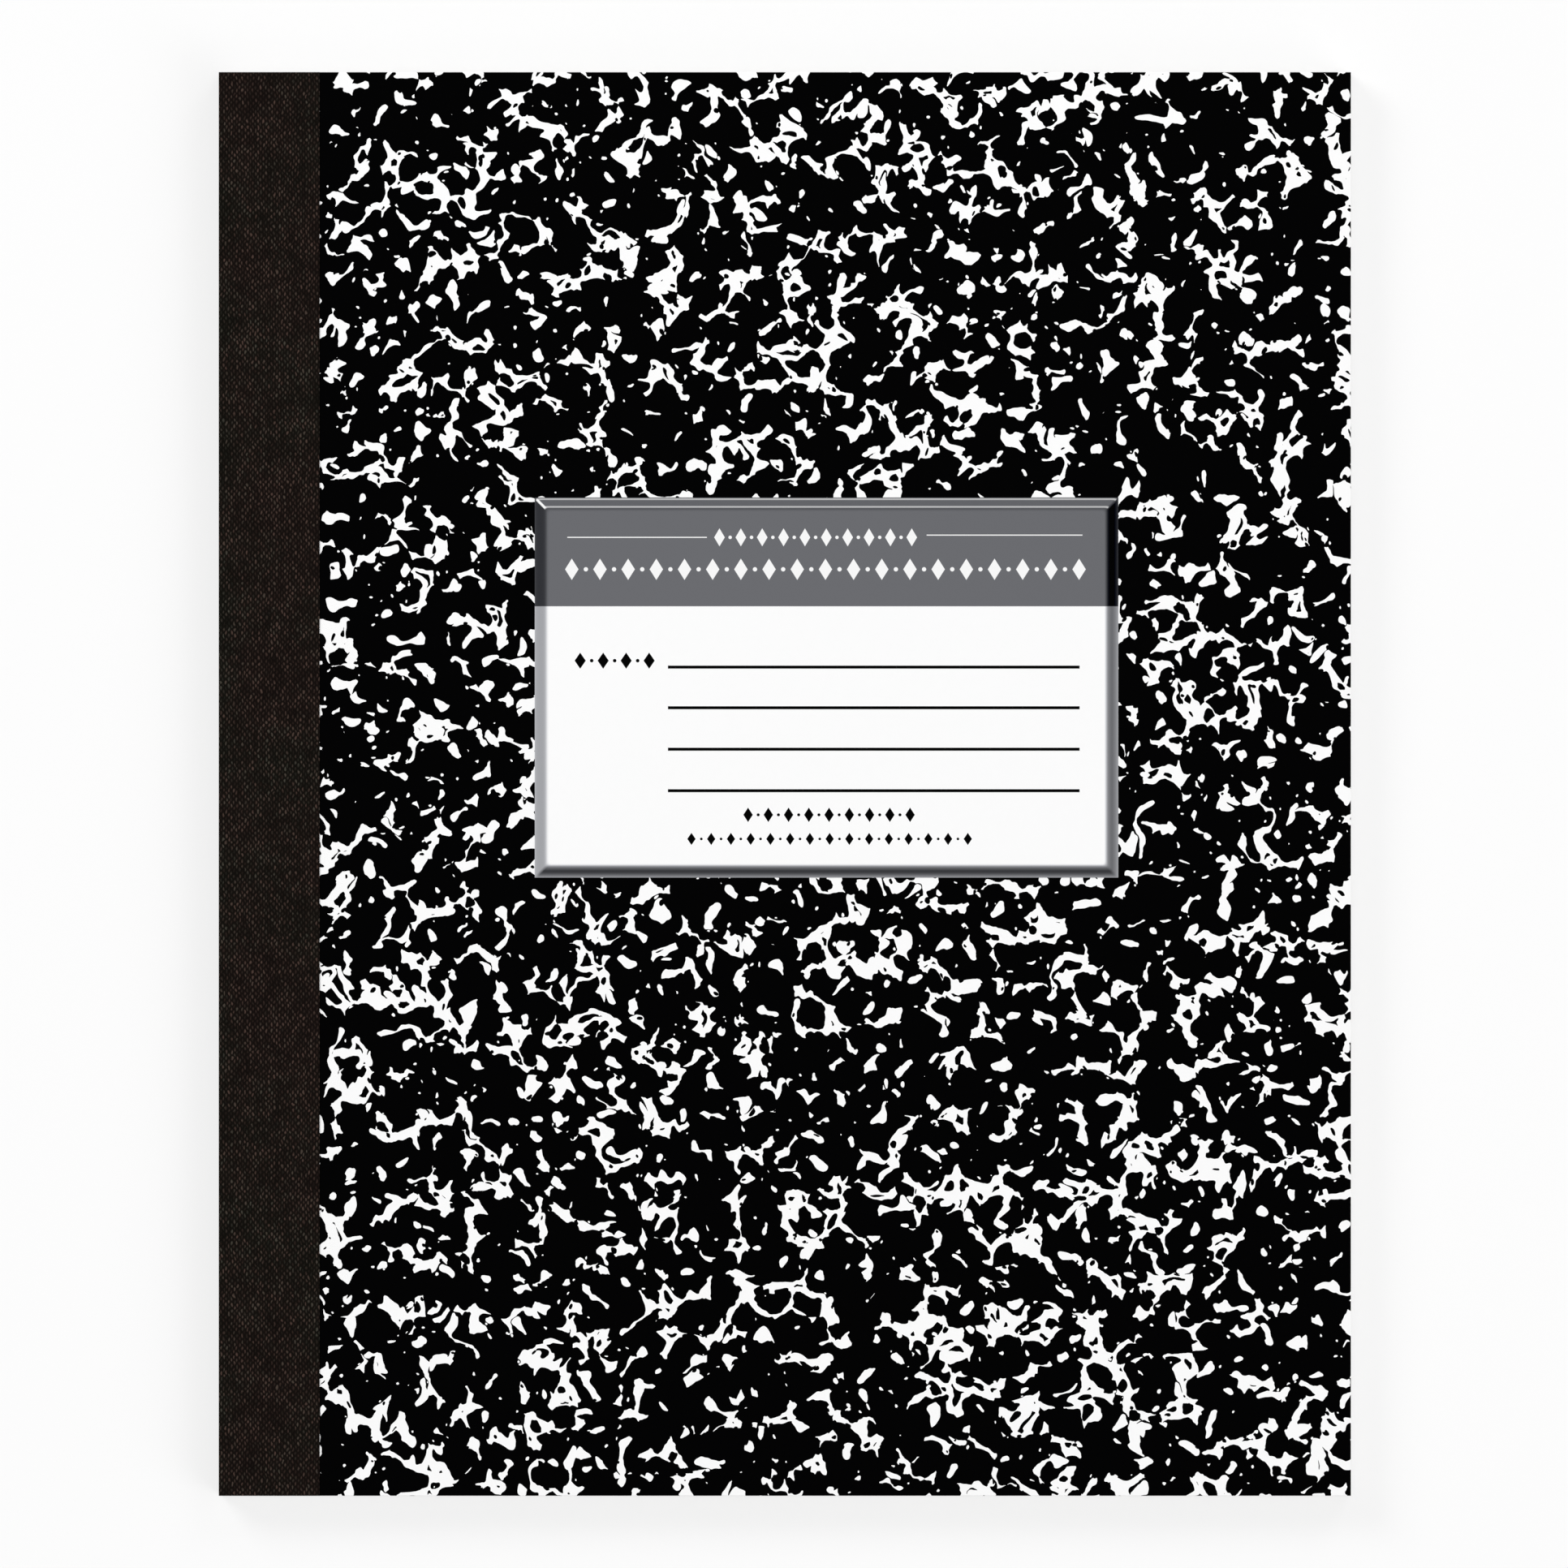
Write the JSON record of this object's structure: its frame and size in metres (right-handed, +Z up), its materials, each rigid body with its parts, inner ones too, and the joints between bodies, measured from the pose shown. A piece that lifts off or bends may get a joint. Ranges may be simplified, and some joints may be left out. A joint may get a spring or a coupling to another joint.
{
  "type": "composition notebook",
  "caption": "Sewn notebook lying closed, with marbled board covers on hinges, a cloth tape round the spine and a raised blank label on the front.",
  "frame": {"origin": "middle of the book's width and height, on the surface that the closed book lies on", "axes": "+X from the spine to the fore-edge, +Y from the tail of the pages to the head, +Z up from the back cover to the front cover"},
  "size_m": [0.202, 0.254, 0.0072],
  "materials": {
    "pages": "smooth uncoated writing paper",
    "thread": "twisted cotton thread",
    "tape": "woven cloth tape",
    "cover_board": "board faced with black and white marbled paper",
    "label": "embossed card"
  },
  "bodies": {
    "sewn_pages": {"page_block": "pages", "needle_thread": "thread", "bobbin_thread": "thread", "spine_tape_middle": "tape"},
    "front_board": {"front_cover": "cover_board", "spine_tape_front": "tape", "label": "label"},
    "back_board": {"back_cover": "cover_board", "spine_tape_back": "tape"}
  },
  "joints": [
    {"name": "front_cover_hinge", "type": "hinge", "parent": "sewn_pages", "child": "front_board", "pos_m": [-0.10105, 0, 0.00605], "axis": [0, -1, 0], "range_deg": [0, 180]},
    {"name": "back_cover_hinge", "type": "hinge", "parent": "sewn_pages", "child": "back_board", "pos_m": [-0.10105, 0, 0.00095], "axis": [0, 1, 0], "range_deg": [0, 180]}
  ]
}
